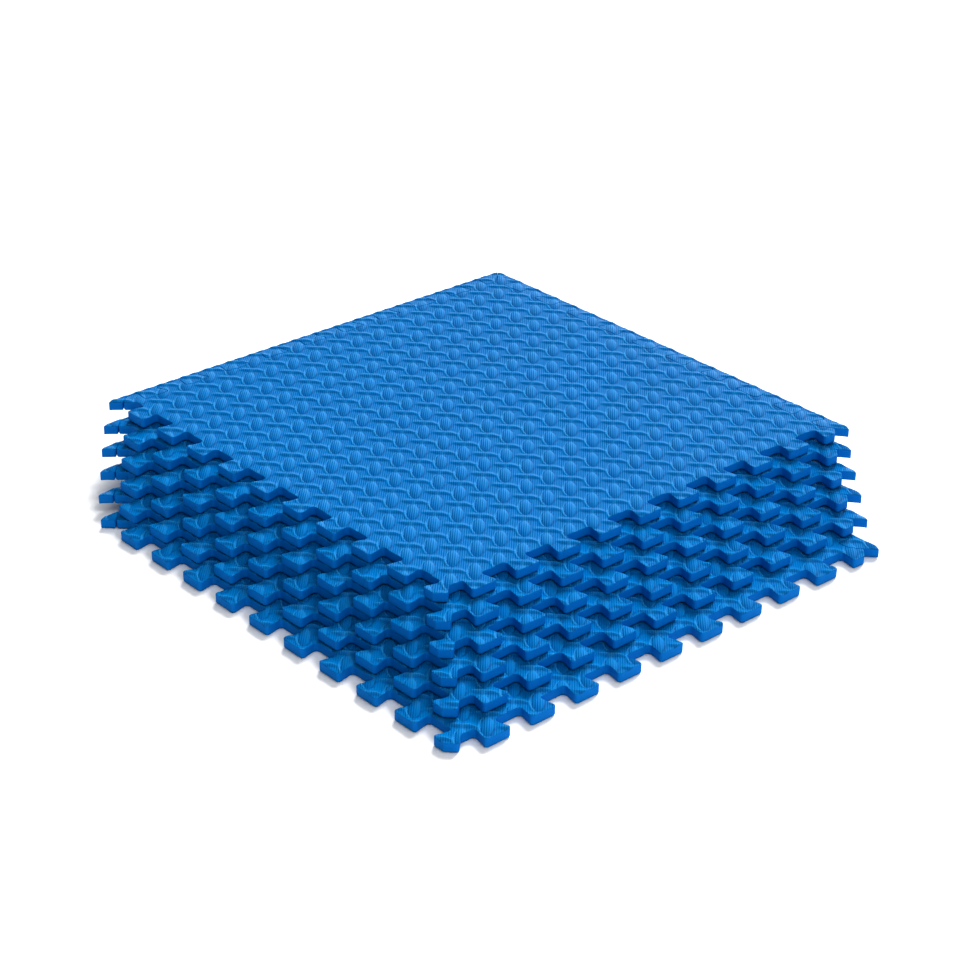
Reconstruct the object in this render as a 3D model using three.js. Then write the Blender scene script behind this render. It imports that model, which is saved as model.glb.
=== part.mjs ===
// A fanned stack of square interlocking foam mats. Each mat has dovetail teeth on its four
// sides and carries a border strip on two of them. Millimetres, +Z up. The front corner
// points to +X -Y, the left corner to -X -Y and the back corner to -X +Y.
import * as THREE from 'three';

// Driving dimensions.
const MAT_COUNT = 6;
const TILE_PITCH = 610; // floor covered by one mat, 24 in
const THICKNESS = 12;
const TOOTH_DEPTH = 23;
const PLAIN_TEETH = 9; // on each side, besides the tooth at its far corner
const HEAD_WIDTH = 36; // of a tooth, at its outer end
const RIM_WIDTH = 5; // of a border strip, beyond the ends of its notches
const TOOTH_CUT = 2.5; // bevel on each tooth corner
const RIM_CUT = 8; // bevel on the outer corners of a bordered mat
const SEAM_GAP = 0.4; // between a mat and its border strips
const STACK_GAP = 0.3; // between one mat and the next

// How far each mat has slid from the top one, and its turn in degrees, from the top down.
const SLIPS = [
  { x: 0, y: 0, turn: 0 },
  { x: 27, y: -25, turn: 0.6 },
  { x: 55, y: -47, turn: 0.8 },
  { x: 83, y: -68, turn: 0.9 },
  { x: 113, y: -91, turn: 0.8 },
  { x: 151, y: -115, turn: 0.1 },
];

// Worked out from them.
const BASE_HALF = (TILE_PITCH - TOOTH_DEPTH) / 2; // half of the square inside the teeth
const TOOTH_SPACING = (2 * BASE_HALF) / (PLAIN_TEETH + 0.5);
const NECK_WIDTH = TOOTH_SPACING - HEAD_WIDTH; // so that teeth fill the notches between them
const BORDER_HALF = BASE_HALF + TOOTH_DEPTH + RIM_WIDTH;
const CORNER_MID = BASE_HALF + TOOTH_DEPTH / 2; // where the four quarters of a floor corner meet

const FOAM_BLUE = new THREE.Color(0x1b7fcb);

const point = (x, y) => new THREE.Vector2(x, y);

// A point of the +X side carried round to another side by quarter turns.
const turned = (p, quarters) => p.clone().rotateAround(point(0, 0), (quarters * Math.PI) / 2);

// One dovetail tooth pointing to +X, from its right neck corner round to its left one.
function tooth(middle, base, tip) {
  return [
    point(base, middle - NECK_WIDTH / 2),
    point(tip, middle - HEAD_WIDTH / 2),
    point(tip, middle + HEAD_WIDTH / 2),
    point(base, middle + NECK_WIDTH / 2),
  ];
}

// The +X side of a mat from its lower corner up: plain teeth, then the corner tooth, whose far
// half is one quarter of the square between four mats' corners.
function matSide() {
  const outer = BASE_HALF + TOOTH_DEPTH;
  const side = [point(BASE_HALF, -BASE_HALF)];
  for (let i = PLAIN_TEETH; i > 0; i -= 1) {
    side.push(...tooth(BASE_HALF - i * TOOTH_SPACING, BASE_HALF, outer));
  }
  side.push(...tooth(BASE_HALF, BASE_HALF, outer).slice(0, 2));
  side.push(point(outer, BASE_HALF), point(CORNER_MID, CORNER_MID));
  return side;
}

function matOutline() {
  return [0, 1, 2, 3].flatMap((quarters) => matSide().map((p) => turned(p, quarters)));
}

// A border strip lying along the +X side, its teeth pointing in to -X to fill the mat's
// notches. Both ends are mitred on the diagonal, where another strip may meet them.
function borderOutline() {
  const base = BASE_HALF + TOOTH_DEPTH;
  const mitre = BORDER_HALF - RIM_CUT / 2;
  const outline = [
    point(CORNER_MID, -CORNER_MID),
    point(mitre, -mitre),
    point(BORDER_HALF, RIM_CUT - BORDER_HALF),
    point(BORDER_HALF, BORDER_HALF - RIM_CUT),
    point(mitre, mitre),
    point(CORNER_MID, CORNER_MID),
    point(base, BASE_HALF),
  ];
  for (let i = 0; i < PLAIN_TEETH; i += 1) {
    const middle = BASE_HALF - (i + 0.5) * TOOTH_SPACING;
    outline.push(...tooth(middle, base, BASE_HALF).reverse());
  }
  outline.push(...tooth(-BASE_HALF, base, BASE_HALF).reverse().slice(0, 2));
  outline.push(point(BASE_HALF, -BASE_HALF));
  return outline;
}

// Moves every edge of an anticlockwise outline inwards by the same distance.
function inset(outline, distance) {
  const count = outline.length;
  return outline.map((corner, i) => {
    const into = corner.clone().sub(outline[(i + count - 1) % count]).normalize();
    const away = outline[(i + 1) % count].clone().sub(corner).normalize();
    const bisector = point(-into.y - away.y, into.x + away.x).normalize();
    const reach = distance / bisector.dot(point(-into.y, into.x));
    return corner.clone().addScaledVector(bisector, reach);
  });
}

// Replaces each corner by two points, as far along its edges as `cut` or half the edge allows.
function bevelled(outline, cut) {
  const count = outline.length;
  return outline.flatMap((corner, i) => {
    return [outline[(i + count - 1) % count], outline[(i + 1) % count]].map((neighbour) => {
      const edge = neighbour.clone().sub(corner);
      const length = edge.length();
      return corner.clone().addScaledVector(edge, Math.min(cut, length / 2.5) / length);
    });
  });
}

function slab(name, outline) {
  const geometry = new THREE.ExtrudeGeometry(new THREE.Shape(outline), {
    depth: THICKNESS,
    bevelEnabled: false,
  });
  const foam = new THREE.MeshStandardMaterial({ color: FOAM_BLUE, roughness: 0.6, metalness: 0 });
  const mesh = new THREE.Mesh(geometry, foam);
  mesh.name = name;
  return mesh;
}

function makeMat(number) {
  return slab(`mat_${number}`, bevelled(inset(matOutline(), SEAM_GAP / 2), TOOTH_CUT));
}

// A border strip turned on to one side of its mat.
function makeBorder(name, quarters) {
  const outline = bevelled(inset(borderOutline(), SEAM_GAP / 2), TOOTH_CUT);
  return slab(name, outline.map((p) => turned(p, quarters)));
}

function makeRow(index) {
  const number = index + 1;
  const slip = SLIPS[index];
  const row = new THREE.Group();
  row.add(makeMat(number));
  row.add(makeBorder(`left_border_${number}`, 2));
  row.add(makeBorder(`back_border_${number}`, 1));
  row.position.set(slip.x, slip.y, (MAT_COUNT - number) * (THICKNESS + STACK_GAP));
  row.rotation.z = THREE.MathUtils.degToRad(slip.turn);
  return row;
}

function makeStack() {
  const stack = new THREE.Group();
  for (let index = 0; index < MAT_COUNT; index += 1) stack.add(makeRow(index));
  stack.updateMatrixWorld(true);
  const middle = new THREE.Box3().setFromObject(stack, true).getCenter(new THREE.Vector3());
  stack.position.set(-middle.x, -middle.y, 0);
  return stack;
}

const group = new THREE.Group();
group.add(makeStack());
export default group;
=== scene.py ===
"""A fanned stack of interlocking foam mats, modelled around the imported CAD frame.

Each CAD slab is replaced by a foam sheet with the same outline, filleted tooth corners, a
real leaf relief pressed into its top, softly rounded edges and a slight sag where it
overhangs the mat below. Lengths are in metres, in the CAD frame.
"""

import math

import bpy
import numpy as np
from mathutils import Matrix, Vector
from mathutils.geometry import delaunay_2d_cdt


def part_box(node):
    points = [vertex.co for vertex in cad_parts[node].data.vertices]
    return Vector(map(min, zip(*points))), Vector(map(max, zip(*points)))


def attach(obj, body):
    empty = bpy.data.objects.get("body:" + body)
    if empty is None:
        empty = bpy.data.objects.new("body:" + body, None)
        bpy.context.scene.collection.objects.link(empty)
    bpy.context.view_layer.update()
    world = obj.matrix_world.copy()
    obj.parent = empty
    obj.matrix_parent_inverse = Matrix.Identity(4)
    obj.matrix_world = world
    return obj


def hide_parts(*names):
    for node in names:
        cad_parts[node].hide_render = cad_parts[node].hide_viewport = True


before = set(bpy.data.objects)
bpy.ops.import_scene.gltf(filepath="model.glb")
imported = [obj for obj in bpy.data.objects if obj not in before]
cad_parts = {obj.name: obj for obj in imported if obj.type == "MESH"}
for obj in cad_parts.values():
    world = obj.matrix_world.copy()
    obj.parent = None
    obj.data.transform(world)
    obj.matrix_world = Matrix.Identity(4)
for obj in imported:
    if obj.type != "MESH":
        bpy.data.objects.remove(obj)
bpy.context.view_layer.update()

# ---------------------------------------------------------------- dimensions of the mats
MAT_COUNT = 6
TILE_PITCH = 0.610
TOOTH_DEPTH = 0.023
PLAIN_TEETH = 9
HEAD_WIDTH = 0.036
RIM_WIDTH = 0.005
TURNS = (0, 0.6, 0.8, 0.9, 0.8, 0.1)  # of each mat, in degrees, from the top down

BASE_HALF = (TILE_PITCH - TOOTH_DEPTH) / 2
TOOTH_SPACING = 2 * BASE_HALF / (PLAIN_TEETH + 0.5)
NECK_WIDTH = TOOTH_SPACING - HEAD_WIDTH
BORDER_HALF = BASE_HALF + TOOTH_DEPTH + RIM_WIDTH
CORNER_MID = BASE_HALF + TOOTH_DEPTH / 2

TOOTH_RADIUS = 0.0038
TIP_RADIUS = 0.002  # of the fold between a strip's mitre and its end tooth
RIM_RADIUS = 0.014  # of the outer corner of a bordered mat
SEAM = 0.00025  # how far each piece's cut edge stands back from the true line
TOP_ROUND = 0.0009  # rounding of the top edge
BOTTOM_ROUND = 0.0016  # and of the bottom edge

# The rings of points round a cut edge from the top down: how far in each lies and how far it
# stands from the face, both as shares of that edge's rounding. The skin covers the first two.
TOP_RINGS = ((0.45, 0.12), (0.12, 0.42), (0.0, 1.0), (0.0, 1.9))
BOTTOM_RINGS = ((0.0, 2.2), (0.0, 1.0), (0.3, 0.3))
SKIN_RINGS = 2

# The embossing: one leaf of each slant in every cell.
CELL_X, CELL_Y = 0.0364, 0.03457
LEAF_NODE = (-0.0759, 0.0237)  # a leaf's middle on the top mat, from the mat's middle
GROUND = 0.0112  # height of the top between the leaves
RELIEF = 0.0011  # height of the leaves over it
SQUASHED = 0.0122  # height of the leaves where another mat lies on them
LONG_HALF, CROSS_HALF = 0.52, 0.50  # half lengths of the leaves along \ and /, in cells
CROSS_LEAN = -0.05  # of the / leaves' crest towards the front
CROSS_BACK = 0.17  # width of their back slope
CROSS_BEND = 0.10  # how far the crest bends that way at the leaf's lower end
LIP = 0.55  # height of the lip along one side of each \ leaf, as a share of the relief
LIP_IN, LIP_OUT = 0.03, 0.08  # width of the lip's steep inner slope and of its outer one
RIBS_PER_CELL = 10
FINE_STEP, COARSE_STEP = 0.0024, 0.003  # between a mesh's points along its outline
UNDERSIDE_STEP = 0.02

# Where the leaves fall on each mat from the top down, in cells from where they fall on the top one.
PHASES = ((0, 0), (0.31, 0.69), (0.75, 0.19), (0.31, 0.69), (0.75, 0.19), (0.31, 0.69))

# How far each mat's overhanging rim sags and over what width, from the top down. The lowest
# lies on the floor.
SAGS = ((0.0025, 0.075), (0.0024, 0.075), (0.0022, 0.075), (0.0021, 0.075), (0.0018, 0.03), (0, 1))


# ---------------------------------------------------------------- outlines
def tooth(middle, base, tip):
    """A dovetail tooth pointing to +X, from its right neck corner round to its left one."""
    neck, head = NECK_WIDTH / 2, HEAD_WIDTH / 2
    right = [(base, middle - neck), (tip, middle - head)]
    return right + [(tip, middle + head), (base, middle + neck)]


def turned(x, y, angle):
    """The coordinates turned anticlockwise about the origin."""
    c, s = math.cos(angle), math.sin(angle)
    return c * x - s * y, s * x + c * y


def quarter_turns(points, count):
    """The points turned anticlockwise by so many right angles."""
    for _ in range(count % 4):
        points = [(-y, x, *rest) for x, y, *rest in points]
    return points


def mat_corners():
    """(x, y, radius) of each corner of a mat, anticlockwise."""
    outer = BASE_HALF + TOOTH_DEPTH
    side = [(BASE_HALF, -BASE_HALF)]
    for i in range(PLAIN_TEETH, 0, -1):
        side += tooth(BASE_HALF - i * TOOTH_SPACING, BASE_HALF, outer)
    side += tooth(BASE_HALF, BASE_HALF, outer)[:2]
    side += [(outer, BASE_HALF), (CORNER_MID, CORNER_MID)]
    corners = [(x, y, TOOTH_RADIUS) for x, y in side]
    return [c for k in range(4) for c in quarter_turns(corners, k)]


def border_corners():
    """(x, y, radius) of each corner of a border strip on the +X side, anticlockwise."""
    base = BASE_HALF + TOOTH_DEPTH
    middle = BORDER_HALF - RIM_RADIUS
    turns = [math.radians(a) for a in (45, 36, 27, 18, 9, 0)]  # from the mitre down to the side
    arc = [(middle + RIM_RADIUS * math.cos(a), middle + RIM_RADIUS * math.sin(a)) for a in turns]
    outline = [(CORNER_MID, -CORNER_MID, 0.0)]
    outline += [(x, -y, 0.0) for x, y in arc]
    outline += [(x, y, 0.0) for x, y in arc[::-1]]
    outline += [(CORNER_MID, CORNER_MID, TIP_RADIUS), (base, BASE_HALF, TOOTH_RADIUS)]
    inner = []
    for i in range(PLAIN_TEETH):
        inner += tooth(BASE_HALF - (i + 0.5) * TOOTH_SPACING, base, BASE_HALF)[::-1]
    inner += tooth(-BASE_HALF, base, BASE_HALF)[::-1][:2]
    inner.append((BASE_HALF, -BASE_HALF))
    return outline + [(x, y, TOOTH_RADIUS) for x, y in inner]


LONGEST_CUT = 0.46  # share of an edge that one fillet may take
FILLET_STEP = math.radians(22)


def filleted(corners, step):
    """A closed outline with every corner rounded and a point about every step."""
    out, count = [], len(corners)
    for k in range(count):
        p = np.array(corners[k][:2])
        if not corners[k][2]:
            out.append(p)
            continue
        a = np.array(corners[k - 1][:2]) - p
        b = np.array(corners[(k + 1) % count][:2]) - p
        la, lb = np.linalg.norm(a), np.linalg.norm(b)
        a, b = a / la, b / lb
        half = math.acos(max(-1.0, min(1.0, float(a @ b)))) / 2
        reach = min(corners[k][2] / math.tan(half), LONGEST_CUT * la, LONGEST_CUT * lb)
        radius = reach * math.tan(half)
        middle = p + (a + b) / np.linalg.norm(a + b) * (radius / math.sin(half))
        start, sweep = p + a * reach - middle, math.pi - 2 * half
        turn = 1.0 if a[0] * b[1] - a[1] * b[0] < 0 else -1.0
        pieces = max(3, math.ceil(sweep / FILLET_STEP))
        for i in range(pieces + 1):
            out.append(middle + np.array(turned(*start, turn * sweep * i / pieces)))
    dense = []
    for k, p in enumerate(out):
        q = out[(k + 1) % len(out)]
        pieces = max(1, round(float(np.linalg.norm(q - p)) / step))
        dense += [p + (q - p) * i / pieces for i in range(pieces)]
    return np.array(dense)


def unit(vectors):
    return vectors / np.linalg.norm(vectors, axis=1)[:, None]


def inward(loop):
    """The unit vector into the outline at each of its points."""
    ahead = np.roll(loop, -1, 0) - loop
    behind = loop - np.roll(loop, 1, 0)
    way = unit(unit(ahead) + unit(behind))
    return np.stack([-way[:, 1], way[:, 0]], 1)


# ---------------------------------------------------------------- flat patches
def inside(points, loop):
    """Whether each point lies inside the closed outline."""
    hit = np.zeros(len(points), bool)
    a, b = loop, np.roll(loop, -1, 0)
    for (x0, y0), (x1, y1) in zip(a, b):
        if y0 == y1:
            continue
        crossing = (points[:, 1] >= min(y0, y1)) & (points[:, 1] < max(y0, y1))
        if crossing.any():
            at = x0 + (points[:, 1] - y0) * (x1 - x0) / (y1 - y0)
            hit ^= crossing & (points[:, 0] < at)
    return hit


def near(points, others, reach):
    """Whether each point is within reach of some point of others."""
    cells = {}
    for x, y in others:
        cells.setdefault((math.floor(x / reach), math.floor(y / reach)), []).append((x, y))
    out = np.zeros(len(points), bool)
    for k, (x, y) in enumerate(points):
        cx, cy = math.floor(x / reach), math.floor(y / reach)
        for i in (cx - 1, cx, cx + 1):
            for j in (cy - 1, cy, cy + 1):
                for px, py in cells.get((i, j), ()):
                    if (px - x) ** 2 + (py - y) ** 2 < reach * reach:
                        out[k] = True
    return out


def patch(loop, points, clear):
    """Fills an outline with triangles through those of the points well inside it.

    Gives all the points used, those of the outline first, and the faces.
    """
    points = points[inside(points, loop)]
    points = points[~near(points, loop, clear)]
    n = len(loop)
    xy = np.concatenate([loop, points])
    edges = [(k, (k + 1) % n) for k in range(n)]
    made = delaunay_2d_cdt([Vector(p) for p in xy], edges, [], 0, 1e-9, True)
    number = [c[0] if c else -1 for c in made[3]]
    if min(number) < 0 or len(made[0]) != len(xy):
        raise RuntimeError("an outline crosses itself")
    triangles = np.array([[number[k] for k in face] for face in made[2]])
    return xy, triangles[inside(xy[triangles].mean(1), loop)].tolist()


def grid(low, high, step):
    """Points on a square grid over the box."""
    sides = [np.arange(a + step / 2, b, step) for a, b in zip(low, high)]
    return np.stack(np.meshgrid(*sides, indexing="ij"), -1).reshape(-1, 2)


# ---------------------------------------------------------------- the embossing
ROOT = math.sqrt(0.5)


def smooth(t):
    """An even step from 0 to 1."""
    t = np.clip(t, 0, 1)
    return t * t * (3 - 2 * t)


def band(value, middle, half):
    """1 at the middle, falling to 0 at half a band's width either way."""
    return np.clip(1 - np.abs(value - middle) / half, 0, 1)


def long_leaf_width(t):
    """Half width of a leaf that lies along \\, in cells: round at t = -1, pointed at t = 1."""
    return 0.203 * np.power(1 + t, 0.56) * np.power(1 - t, 0.6)


def cross_leaf_width(t):
    """Width of the front slope of a leaf that lies along /."""
    return 0.175 * np.power(1 - t * t, 0.5)


def cross_leaf_crest(t):
    """How far the crest of a / leaf lies to the front of its middle line."""
    return CROSS_LEAN + CROSS_BEND * smooth((t - 0.4) / 0.55)


def long_leaf(u, v):
    """The \\ leaf at u along it and v across it: its height, painted highlight and painted shade, 0
    to 1.
    """
    t = np.clip(u / LONG_HALF, -1, 1)
    width = np.maximum(long_leaf_width(t), 1e-6)
    side = np.abs(v) / width
    across = np.clip(v / width, -1, 1)
    ends = smooth((1 - np.abs(t)) / 0.15)
    # A flat-topped dome that is lower along the side with the lip.
    tilt = 0.66 + 0.34 * across
    dome = np.where(side < 1, tilt * np.clip(1 - side**4, 0, 1) * (1 - np.abs(t) ** 2.6), 0.0)
    # The lip stands just outside that side and fades towards the round end.
    beyond = -v - width
    inner = np.clip(beyond / LIP_IN, 0, 1)
    lip = np.minimum(inner, np.clip(1 - (beyond - LIP_IN) / LIP_OUT, 0, 1)) * ends
    lip = lip * (0.55 + 0.45 * smooth(t * 3 + 0.9))
    # The dome gets painted highlight towards its round end and the side away from the lip, and
    # painted shade towards its pointed end and the lip's side.
    slant = t - 0.6 * across
    glow = np.where(side < 1, smooth((0.3 - slant) / 1.5), 0.0)
    shade = np.where(side < 1, smooth((slant + 0.3) / 1.4), 0.0)
    # Painted shade along the leaf's outline, joined with the painted shade of the dome.
    crease_shade = np.maximum(band(np.abs(v) - width, 0.0, 0.02) * ends, 0.6 * shade)
    # A painted highlight along the lip's steep inner slope.
    line = band(beyond, LIP_IN, 0.035) * ends * (0.5 + 0.5 * smooth(t * 3 + 0.9))
    return np.maximum(dome, LIP * lip), np.maximum(0.4 * glow, line), crease_shade


def cross_leaf(u, v):
    """The same for the / leaf: a sharp ridge with a painted highlight along its crest and painted
    shade on its front foot.

    It falls to the lip's height towards t = 1, where it runs on into a lip.
    """
    t = np.clip(u / CROSS_HALF, -1, 1)
    v = v - cross_leaf_crest(t)
    side = np.where(v < 0, -v / CROSS_BACK, v / np.maximum(cross_leaf_width(t), 1e-6))
    ends = (1 - np.abs(t) ** 9) * (1 - (1 - LIP) * smooth(t * 2 - 0.9)) * smooth((1 + t) / 0.6)
    ridge = np.clip(1 - side, 0, 1) ** 1.1 * ends
    # Painted shade on the front foot; the return below adds a painted highlight along the back of
    # the crest.
    foot = np.where(v > 0, band(side, 0.95, 0.5) * ends, 0.0)
    return ridge, band(v, -0.01, 0.026) * ends, 0.75 * foot


def leaves(p, q):
    """The embossing at lattice coordinates p to the right and q to the front.

    Gives its height, 0 to 1, how much painted highlight a point gets along the crests and how much
    painted shade in the creases.
    """
    dp, dq = p - np.round(p), q - np.round(q)
    long_one = long_leaf((dp + dq) * ROOT, (dp - dq) * ROOT)
    dp, dq = p - 0.5 - np.round(p - 0.5), q - 0.5 - np.round(q - 0.5)
    cross_one = cross_leaf((dp - dq) * ROOT, (dp + dq) * ROOT)
    return [np.maximum(a, b) for a, b in zip(long_one, cross_one)]


def leaf_points(fine):
    """Lattice coordinates of one cell's mesh points, laid along the creases of its two leaves."""
    if fine:
        steps, ground_steps, clear = 15, 10, 0.05
        long_shares, cross_shares = (0.0, 0.45, 0.78, 0.9, 1.0), (0.0, 0.34, 0.68, 1.0)
        lip_lines = (LIP_IN, LIP_IN + LIP_OUT / 2, LIP_IN + LIP_OUT)
    else:
        steps, ground_steps, clear = 11, 9, 0.07
        long_shares, cross_shares = (0.0, 0.5, 0.9, 1.02), (0.0, 0.5, 1.02)
        lip_lines = (LIP_IN, LIP_IN + LIP_OUT)
    closest = 0.012  # distance between two of the points laid
    t = np.sin(np.linspace(-1, 1, steps) * math.pi / 2 * 0.94)  # closer together at the ends
    out = []

    def lay(u, v, middle, turn):
        """Adds points at u along and v across a leaf. It is a \\ one where turn is 1."""
        out.append(np.stack([middle + (u + v) * ROOT, middle + turn * (u - v) * ROOT], 1))

    for share in long_shares:
        for way in (-1, 1) if share else (1,):
            lay(t * LONG_HALF, way * share * long_leaf_width(t), 0.0, 1)
    for beyond in lip_lines:
        lay(t * LONG_HALF, -long_leaf_width(t) - beyond, 0.0, 1)
    for share in cross_shares:
        lay(t * CROSS_HALF, cross_leaf_crest(t) + share * cross_leaf_width(t), 0.5, -1)
        if share:
            lay(t * CROSS_HALF, cross_leaf_crest(t) - share * CROSS_BACK, 0.5, -1)
    laid = np.concatenate(out)
    kept = [laid[0]]
    for point in laid[1:]:
        if min((point[0] - k[0]) ** 2 + (point[1] - k[1]) ** 2 for k in kept) > closest**2:
            kept.append(point)
    laid = np.array(kept)
    around = np.concatenate([laid + (i, j) for i in (-1, 0, 1) for j in (-1, 0, 1)])
    ground = grid((-0.5, -0.5), (0.5, 0.5), 1 / ground_steps)
    return np.concatenate([laid, ground[~near(ground, around, clear)]])


# ---------------------------------------------------------------- sheets of foam
SKIN, CUT, UNDERSIDE = 0, 1, 2  # a sheet's materials


def sag(x, y, row):
    """How far a mat's surface hangs below the flat, most along its two back sides."""
    amount, reach = SAGS[row]
    beyond = np.maximum(-x, y) - (BORDER_HALF - reach)
    return amount * np.clip(beyond / reach, 0, 1.1) ** 3


class Template:
    """The flat mesh of one kind of piece, with its points laid for the embossing at one phase."""

    def __init__(self, corners, step, phase, fine):
        loop = filleted(corners, step)
        into = inward(loop)
        self.loop = loop + into * SEAM
        self.node = (LEAF_NODE[0] + phase[0] * CELL_X, LEAF_NODE[1] + phase[1] * CELL_Y)
        cell = leaf_points(fine)
        reach = math.ceil(BORDER_HALF / CELL_Y) + 3
        shifts = [(i, j) for i in range(-reach, reach) for j in range(-reach, reach)]
        xy = np.concatenate([cell + shift for shift in shifts]) * (CELL_X, -CELL_Y) + self.node
        self.top, top_faces = patch(self.loop + into * TOP_ROUND, xy, step * 0.45)
        plain = grid((-BORDER_HALF, -BORDER_HALF), (BORDER_HALF, BORDER_HALF), UNDERSIDE_STEP)
        low, low_faces = patch(self.loop + into * BOTTOM_ROUND, plain, step)
        rings = [self.loop + into * TOP_ROUND * share for share, _ in TOP_RINGS]
        rings += [self.loop + into * BOTTOM_ROUND * share for share, _ in BOTTOM_RINGS]
        self.xy = np.concatenate([self.top, *rings, low])
        self.close(top_faces, low_faces, len(rings))

    def close(self, top_faces, low_faces, rings):
        """Lists all the faces: the top, the bands from ring to ring, and the underside."""
        n = len(self.loop)
        around = np.arange(n)
        ahead = (around + 1) % n
        # Where the points of each ring start, from the top's own outline to the underside's.
        self.starts = [0] + [len(self.top) + k * n for k in range(rings + 1)]
        self.faces = [list(f) for f in top_faces]
        self.kinds = [SKIN] * len(top_faces)
        for k, (upper, lower) in enumerate(zip(self.starts[:-1], self.starts[1:])):
            quads = np.stack([upper + around, lower + around, lower + ahead, upper + ahead], 1)
            self.faces += quads.tolist()
            self.kinds += [SKIN if k < SKIN_RINGS else CUT] * n
        self.faces += [[self.starts[-1] + k for k in reversed(f)] for f in low_faces]
        self.kinds += [UNDERSIDE] * len(low_faces)

    def build(self, name, row, place, above):
        """The finished mesh for one row. Leaves that the mat above lies on are squashed flat."""
        n, count = len(self.loop), len(self.top)
        p = (self.top[:, 0] - self.node[0]) / CELL_X
        q = -(self.top[:, 1] - self.node[1]) / CELL_Y
        relief, crest_highlight, crease_shade = leaves(p, q)
        top_z = GROUND + RELIEF * relief
        if above is not None:
            top_z = np.where(under(self.top, place, above), np.minimum(top_z, SQUASHED), top_z)
        heights = [top_z[:n] - TOP_ROUND * drop for _, drop in TOP_RINGS]
        heights += [np.full(n, BOTTOM_ROUND * rise) for _, rise in BOTTOM_RINGS]
        z = np.concatenate([top_z, *heights, np.zeros(len(self.xy) - self.starts[-1])])
        z = z - sag(self.xy[:, 0], self.xy[:, 1], row)
        # Red is the painted highlight on the crests, green the painted shade in the creases and
        # along the bottom edge, blue the relief.
        painted_light_and_relief = np.zeros((len(z), 4))
        painted_light_and_relief[:count, :3] = np.stack([crest_highlight, crease_shade, relief], 1)
        for start in self.starts[1 : SKIN_RINGS + 1]:
            painted_light_and_relief[start : start + n] = painted_light_and_relief[:n]
        # The lowest ring and the underside's edge get painted shade, darkest at the very bottom.
        for start, dark in zip(self.starts[-2:], (0.6, 1.0)):
            painted_light_and_relief[start : start + n, 1] = dark
        return finished_mesh(name, self, z, painted_light_and_relief, place)


def under(points, place, above):
    """Whether each of a mat's points lies under the mat above, given as its place and outline.

    The area of that mat's two strips is taken as plain rectangles.
    """
    (x0, y0), turn, _ = place
    (x1, y1), turn_above, _ = above[0]
    for angle, dx, dy in ((turn, x0 - x1, y0 - y1), (-turn_above, 0.0, 0.0)):
        x, y = turned(*points.T, angle)
        points = np.stack([x + dx, y + dy], 1)
    x, y = points.T
    strips = ((x < -BASE_HALF) | (y > BASE_HALF)) & (x > -BORDER_HALF) & (y < BORDER_HALF)
    return inside(points, above[1]) | (strips & (x < BORDER_HALF) & (y > -BORDER_HALF))


def finished_mesh(name, template, z, painted_light_and_relief, place):
    """Blender's mesh of a template, put in place, with the lattice coordinates as its UVs."""
    mesh = bpy.data.meshes.new(name)
    xy, faces, node = template.xy, template.faces, template.node
    centre, turn, floor = place
    x, y = turned(*xy.T, turn)
    co = np.stack([x + centre[0], y + centre[1], z + floor], 1)
    sizes = np.array([len(f) for f in faces])
    starts = np.concatenate([[0], np.cumsum(sizes)[:-1]])
    flat = np.fromiter((k for f in faces for k in f), np.int32, int(sizes.sum()))
    mesh.vertices.add(len(co))
    mesh.vertices.foreach_set("co", co.astype(np.float32).ravel())
    mesh.loops.add(len(flat))
    mesh.loops.foreach_set("vertex_index", flat)
    mesh.polygons.add(len(sizes))
    mesh.polygons.foreach_set("loop_start", starts.astype(np.int32))
    mesh.polygons.foreach_set("material_index", np.array(template.kinds, np.int32))
    mesh.polygons.foreach_set("use_smooth", np.ones(len(sizes), bool))
    mesh.update(calc_edges=True)
    uv = mesh.uv_layers.new(name="Lattice")
    lattice = np.stack([(xy[:, 0] - node[0]) / CELL_X, (xy[:, 1] - node[1]) / CELL_Y], 1)
    uv.data.foreach_set("uv", lattice[flat].astype(np.float32).ravel())
    painted_light = mesh.color_attributes.new("PaintedLightAndRelief", "FLOAT_COLOR", "POINT")
    painted_light.data.foreach_set("color", painted_light_and_relief.astype(np.float32).ravel())
    mesh.validate()
    return mesh


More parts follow.
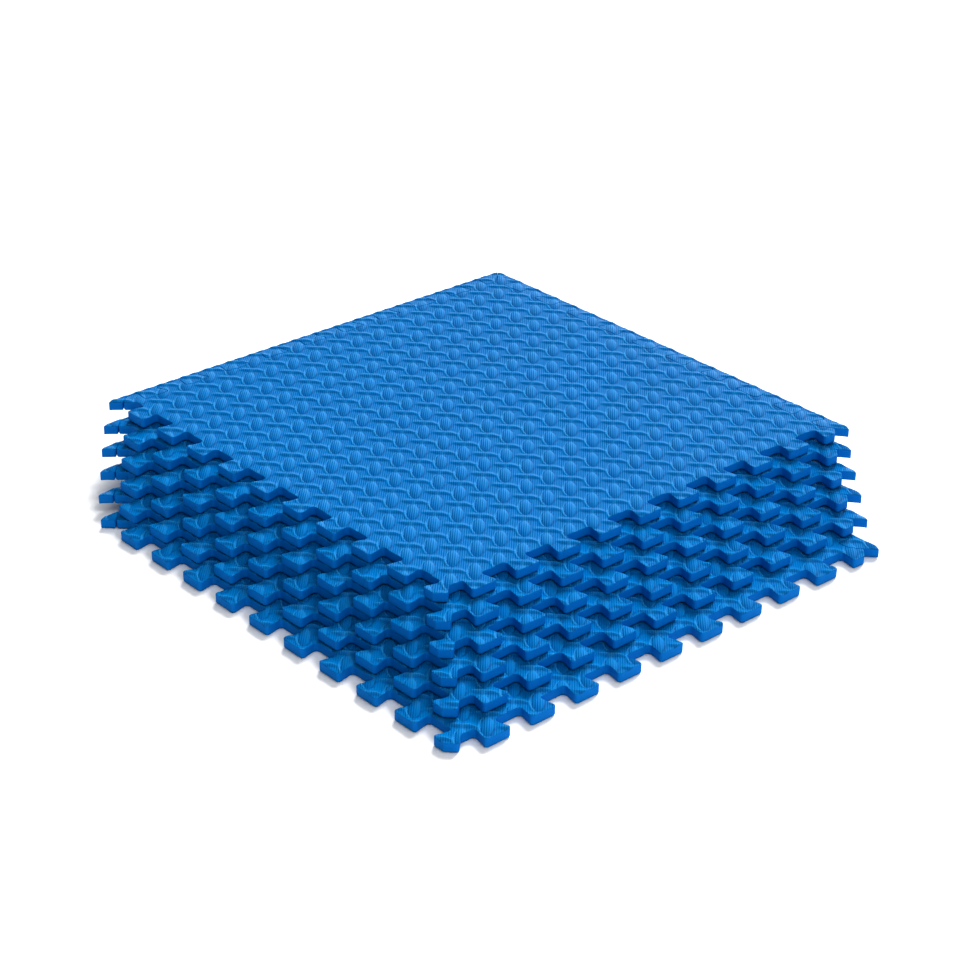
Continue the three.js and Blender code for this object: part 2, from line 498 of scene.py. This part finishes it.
# ---------------------------------------------------------------- materials
class Nodes:
    """Short calls for building a node tree."""

    def __init__(self, tree):
        self.tree = tree

    def add(self, kind, **settings):
        node = self.tree.nodes.new(kind)
        for key, value in settings.items():
            setattr(node, key, value)
        return node

    def link(self, output, socket):
        self.tree.links.new(output, socket)

    def math(self, operation, a, b=0.0):
        node = self.add("ShaderNodeMath", operation=operation)
        for socket, value in zip(node.inputs, (a, b)):
            if isinstance(value, (int, float)):
                socket.default_value = value
            else:
                self.link(value, socket)
        return node.outputs[0]

    def dot(self, vector, constant):
        node = self.add("ShaderNodeVectorMath", operation="DOT_PRODUCT")
        self.link(vector, node.inputs[0])
        node.inputs[1].default_value = constant
        return node.outputs["Value"]

    def painted_light_and_relief(self):
        """The sheets' attribute of painted highlight, painted shade and relief, as its red, green
        and blue.
        """
        split = self.add("ShaderNodeSeparateColor")
        attribute = self.add("ShaderNodeAttribute", attribute_name="PaintedLightAndRelief")
        self.link(attribute.outputs["Color"], split.inputs[0])
        return [split.outputs[name] for name in ("Red", "Green", "Blue")]

    def noise(self, vector, scale, detail=2.0, roughness=0.5):
        node = self.add("ShaderNodeTexNoise")
        node.inputs["Scale"].default_value = scale
        node.inputs["Detail"].default_value = detail
        node.inputs["Roughness"].default_value = roughness
        self.link(vector, node.inputs["Vector"])
        return node.outputs["Fac"]

    def ramp(self, value, low, high, edge=(0.0, 1.0), shape="LINEAR"):
        """Low to high as the value goes from one end of the edge to the other."""
        node = self.add("ShaderNodeMapRange", interpolation_type=shape)
        for name, v in zip(("From Min", "From Max", "To Min", "To Max"), (*edge, low, high)):
            node.inputs[name].default_value = v
        self.link(value, node.inputs["Value"])
        return node.outputs["Result"]

    def mix(self, share, first, second):
        """Two colours blended, each a tuple or an output."""
        node = self.add("ShaderNodeMix", data_type="RGBA")
        self.link(share, node.inputs["Factor"])
        for socket, colour in ((node.inputs[6], first), (node.inputs[7], second)):
            if isinstance(colour, tuple):
                socket.default_value = (*colour, 1)
            else:
                self.link(colour, socket)
        return node.outputs[2]

    def bump(self, height, distance, under=None):
        node = self.add("ShaderNodeBump")
        node.inputs["Distance"].default_value = distance
        self.link(height, node.inputs["Height"])
        if under is not None:
            self.link(under, node.inputs["Normal"])
        return node.outputs["Normal"]


class Material(Nodes):
    """A new material's node tree, with its shader."""

    def __init__(self, name):
        self.material = bpy.data.materials.new(name)
        self.material.use_nodes = True
        super().__init__(self.material.node_tree)
        self.shader = self.tree.nodes["Principled BSDF"]


def linear(r, g, b):
    """A display colour, 0 to 255, as the linear numbers that shaders take."""
    return tuple(v / 3294.6 if v < 10.31 else ((v / 255 + 0.055) / 1.055) ** 2.4 for v in (r, g, b))


TOP_BLUE = linear(0, 112, 174)
TOP_BLUE_DEEP = linear(0, 106, 168)
HIGHLIGHT_BLUE = linear(62, 166, 224)  # painted highlight of the crests
# Painted shade of the creases and of the grooves between the ribs.
SHADE_BLUE = linear(0, 56, 114)
HIGHLIGHT_SHARE, SHADE_SHARE = 0.56, 0.6  # how strongly the painted highlight and the painted shade tint the top
GROOVE_SHADE_SHARE = 0.10  # how far the grooves between the ribs get painted shade
RIB_HEIGHT = 0.0002
GRAIN_HEIGHT = 0.00005
CUT_BLUE = linear(0, 114, 190)
CUT_BLUE_DEEP = linear(0, 106, 181)
EDGE_SHADE_BLUE = linear(0, 30, 62)  # painted shade along the bottom edge


def embossed_foam():
    """The pressed skin on top: fine ribs along the leaves of one slant, a soft sheen, and painted
    highlight and painted shade on the relief.
    """
    n = Material("embossed_foam")
    place = n.add("ShaderNodeTexCoord").outputs["Object"]
    lattice = n.add("ShaderNodeUVMap", uv_map="Lattice").outputs["UV"]
    split = n.add("ShaderNodeSeparateXYZ")
    n.link(lattice, split.inputs[0])
    across = n.math("ADD", split.outputs[0], split.outputs[1])
    wobble = n.math("MULTIPLY", n.noise(place, 60.0), 0.02)
    phase = n.math("MULTIPLY", n.math("ADD", across, wobble), 2 * math.pi * RIBS_PER_CELL)
    ribs = n.math("SINE", phase)
    grain = n.noise(place, 1800.0, detail=3.0, roughness=0.6)
    mottle = n.noise(place, 9.0, detail=3.0, roughness=0.55)
    crest_highlight, crease_shade, relief = n.painted_light_and_relief()
    blue = n.mix(n.ramp(mottle, 0.0, 1.0), TOP_BLUE_DEEP, TOP_BLUE)
    # Painted shade in the creases and in the grooves between the ribs.
    blue = n.mix(n.math("MULTIPLY", crease_shade, SHADE_SHARE), blue, SHADE_BLUE)
    blue = n.mix(n.ramp(ribs, GROOVE_SHADE_SHARE, 0.0), blue, SHADE_BLUE)
    # A painted highlight on the crests, broken up by the ribs.
    painted_light = n.ramp(ribs, 0.7 * HIGHLIGHT_SHARE, 1.3 * HIGHLIGHT_SHARE)
    n.link(n.mix(n.math("MULTIPLY", crest_highlight, painted_light), blue, HIGHLIGHT_BLUE), n.shader.inputs["Base Color"])
    n.link(n.ramp(grain, 0.28, 0.42), n.shader.inputs["Roughness"])
    form = n.bump(relief, RELIEF)
    fine = n.bump(grain, GRAIN_HEIGHT, under=form)
    n.link(n.bump(ribs, RIB_HEIGHT, under=fine), n.shader.inputs["Normal"])
    n.shader.inputs["Specular IOR Level"].default_value = 0.1
    return n.material


def cut_foam():
    """The cut sides: closed cells sliced by the die, with faint upright drag marks and painted
    shade along the bottom edge.
    """
    n = Material("cut_foam")
    place = n.add("ShaderNodeTexCoord").outputs["Object"]
    cells = n.noise(place, 900.0, detail=4.0, roughness=0.65)
    squeeze = n.add("ShaderNodeMapping")
    squeeze.inputs["Scale"].default_value = (1, 1, 0.12)
    n.link(place, squeeze.inputs["Vector"])
    drag = n.noise(squeeze.outputs["Vector"], 500.0)
    mottle = n.noise(place, 40.0, detail=3.0)
    _, edge_shade, _ = n.painted_light_and_relief()
    blue = n.mix(mottle, CUT_BLUE_DEEP, CUT_BLUE)
    # Painted shade along the bottom edge.
    n.link(n.mix(edge_shade, blue, EDGE_SHADE_BLUE), n.shader.inputs["Base Color"])
    n.link(n.ramp(cells, 0.55, 0.75), n.shader.inputs["Roughness"])
    fine = n.bump(cells, 0.00012)
    n.link(n.bump(drag, 0.00015, under=fine), n.shader.inputs["Normal"])
    n.shader.inputs["Specular IOR Level"].default_value = 0.05
    return n.material


def plain_foam():
    """The flat underside."""
    n = Material("plain_foam")
    place = n.add("ShaderNodeTexCoord").outputs["Object"]
    cells = n.noise(place, 700.0, detail=4.0, roughness=0.6)
    mottle = n.noise(place, 14.0, detail=3.0)
    n.link(n.mix(mottle, TOP_BLUE_DEEP, TOP_BLUE), n.shader.inputs["Base Color"])
    n.link(n.ramp(cells, 0.5, 0.7), n.shader.inputs["Roughness"])
    n.link(n.bump(cells, 0.0001), n.shader.inputs["Normal"])
    return n.material


def floor_material():
    """The white studio floor."""
    n = Material("studio_white")
    place = n.add("ShaderNodeTexCoord").outputs["Object"]
    cloud = n.noise(place, 0.7)
    n.link(n.mix(cloud, (0.93, 0.93, 0.93), (0.95, 0.95, 0.95)), n.shader.inputs["Base Color"])
    n.shader.inputs["Roughness"].default_value = 0.9
    return n.material


# ---------------------------------------------------------------- the stack
def body_of_piece(kind, row):
    """The body that a piece rides on. Only the top mat's strips are bodies of their own."""
    return f"bordered_mat_{row + 1}" if row else f"top_{kind}"


def make_stack():
    """All the pieces from the top row down, each made from the template of its kind and phase."""
    materials = [embossed_foam(), cut_foam(), plain_foam()]
    strip = border_corners()
    outlines = {
        "mat": mat_corners(),
        "left_border": quarter_turns(strip, 2),
        "back_border": quarter_turns(strip, 1),
    }
    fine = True
    step = FINE_STEP if fine else COARSE_STEP
    templates, above = {}, None
    for row in range(MAT_COUNT):
        low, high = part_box(f"mat_{row + 1}")
        centre = (low + high) / 2
        place = ((centre.x, centre.y), math.radians(TURNS[row]), low.z)
        for kind, corners in outlines.items():
            key = (kind, PHASES[row])
            if key not in templates:
                templates[key] = Template(corners, step, PHASES[row], fine)
            node = f"{kind}_{row + 1}"
            name = f"foam_{node}"
            piece = bpy.data.objects.new(name, templates[key].build(name, row, place, above))
            bpy.context.scene.collection.objects.link(piece)
            for material in materials:
                piece.data.materials.append(material)
            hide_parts(node)
            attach(piece, body_of_piece(kind, row))
        above = (place, templates["mat", PHASES[row]].loop)


# ---------------------------------------------------------------- studio
CAMERA_TARGET = Vector((-0.045, 0.038, 0.0))
CAMERA_AZIMUTH = math.radians(48.54)
CAMERA_ELEVATION = math.radians(27.59)
CAMERA_ROLL = math.radians(0.51)
CAMERA_DISTANCE = 2.898
LENS, SENSOR = 89.74, 36.0  # in millimetres
FLOOR_HALF = 30.0
FLOOR_DROP = 0.0002  # so that the lowest mat's underside doesn't share its plane

KEY_FROM = (-0.35, 0.62, 0.50)  # behind the stack to its right
KEY_POWER = 6.2
KEY_SPREAD = math.radians(30)

# The room's glows: the way to each one's middle, the cosines of the angles from that way between
# which it fades in, and its brightness.
SKY_AXIS, SKY_EDGE, SKY_POWER = (0.10, 0.18, 0.98), (0.72, 0.97), 1.15
SIDE_AXIS, SIDE_EDGE, SIDE_POWER = (0.90, -0.15, 0.40), (0.60, 0.98), 1.15
FRONT_AXIS, FRONT_EDGE, FRONT_POWER = (0.72, -0.64, 0.25), (0.10, 0.95), 0.52
BACK_AXIS, BACK_EDGE, BACK_POWER = (-0.40, 0.917, 0.0), (0.79, 0.90), 1.6
BACK_TOP = (0.36, 0.56)  # the sines of the heights between which the one at the back fades out
FILL = 0.03  # brightness of the rest


def make_floor():
    """A white floor that runs past the horizon."""
    mesh = bpy.data.meshes.new("floor")
    r = FLOOR_HALF
    mesh.from_pydata([(-r, -r, 0), (r, -r, 0), (r, r, 0), (-r, r, 0)], [], [(0, 1, 2, 3)])
    floor = bpy.data.objects.new("floor", mesh)
    mesh.materials.append(floor_material())
    bpy.context.scene.collection.objects.link(floor)
    floor.location.z = -FLOOR_DROP


def make_camera():
    """The photograph's camera, turned about its target."""
    data = bpy.data.cameras.new("camera")
    camera = bpy.data.objects.new("camera", data)
    bpy.context.scene.collection.objects.link(camera)
    bpy.context.scene.camera = camera
    data.sensor_width = SENSOR
    data.lens = LENS
    level = math.cos(CAMERA_ELEVATION)
    away = (math.sin(CAMERA_AZIMUTH) * level, -math.cos(CAMERA_AZIMUTH) * level)
    back = Vector((*away, math.sin(CAMERA_ELEVATION)))
    aim = (-back).to_track_quat("-Z", "Y").to_matrix().to_4x4()
    stand = Matrix.Translation(CAMERA_TARGET + back * CAMERA_DISTANCE)
    camera.matrix_world = stand @ aim @ Matrix.Rotation(CAMERA_ROLL, 4, "Z")
    data.clip_end = 50


def make_key():
    """The soft main light, from the right behind the stack."""
    data = bpy.data.lights.new("key", "SUN")
    data.energy = KEY_POWER
    data.angle = KEY_SPREAD
    light = bpy.data.objects.new("key", data)
    bpy.context.scene.collection.objects.link(light)
    light.visible_glossy = False  # the sheen comes from the room
    light.rotation_euler = Vector(KEY_FROM).to_track_quat("Z", "Y").to_euler()


def make_world():
    """A soft studio: dim, with wide glows overhead, beside, in front and along the back."""
    world = bpy.data.worlds.new("studio")
    bpy.context.scene.world = world
    world.use_nodes = True
    n = Nodes(world.node_tree)
    background = n.tree.nodes["Background"]
    way = n.add("ShaderNodeTexCoord").outputs["Generated"]

    def glow(axis, edge, power):
        return n.ramp(n.dot(way, axis), 0.0, power, edge, "SMOOTHSTEP")

    below = n.ramp(n.dot(way, (0, 0, 1)), BACK_POWER, 0.0, BACK_TOP, "SMOOTHSTEP")
    back = n.math("MULTIPLY", below, glow(BACK_AXIS, BACK_EDGE, 1.0))
    light = n.math("ADD", glow(SKY_AXIS, SKY_EDGE, SKY_POWER), back)
    light = n.math("ADD", light, FILL)
    light = n.math("ADD", light, glow(FRONT_AXIS, FRONT_EDGE, FRONT_POWER))
    light = n.math("ADD", light, glow(SIDE_AXIS, SIDE_EDGE, SIDE_POWER))
    background.inputs["Color"].default_value = (1, 1, 1, 1)
    n.link(light, background.inputs["Strength"])


make_camera()
make_stack()
make_floor()
make_key()
make_world()
view = bpy.context.scene.view_settings
view.view_transform = "Standard"
view.gamma = 0.85
view.look = "None"
